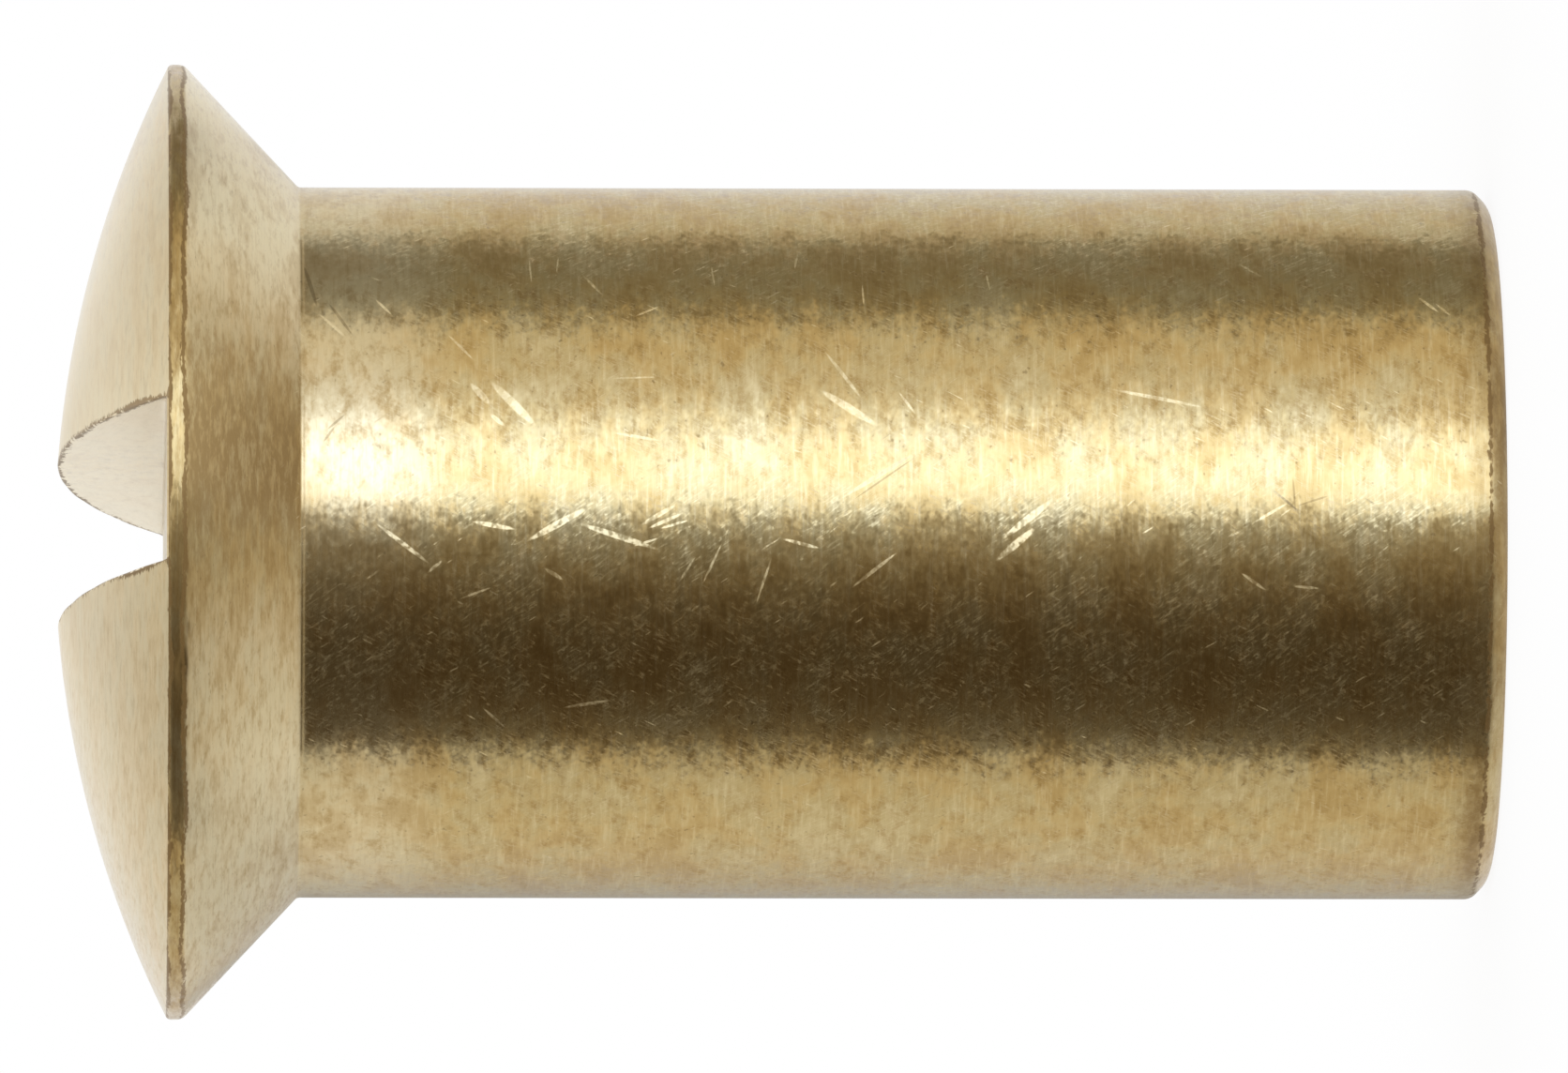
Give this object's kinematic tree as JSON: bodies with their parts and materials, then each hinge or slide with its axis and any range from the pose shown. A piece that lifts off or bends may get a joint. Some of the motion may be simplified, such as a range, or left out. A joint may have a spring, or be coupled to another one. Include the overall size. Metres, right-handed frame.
{
  "type": "sleeve nut",
  "caption": "Slotted sleeve nut with a raised countersunk head and a blind threaded hole in a plain round sleeve, turned from brass.",
  "frame": {"origin": "centre of the open end's flat face, on which the nut stands", "axes": "+Z along the nut's axis from the open end to the crown, Y along the screwdriver slot, X across it"},
  "size_m": [0.008, 0.008, 0.0121],
  "materials": {
    "turned_brass": "satin, as turned, slightly tarnished"
  },
  "bodies": {
    "root": {"sleeve_nut": "turned_brass"}
  },
  "joints": []
}
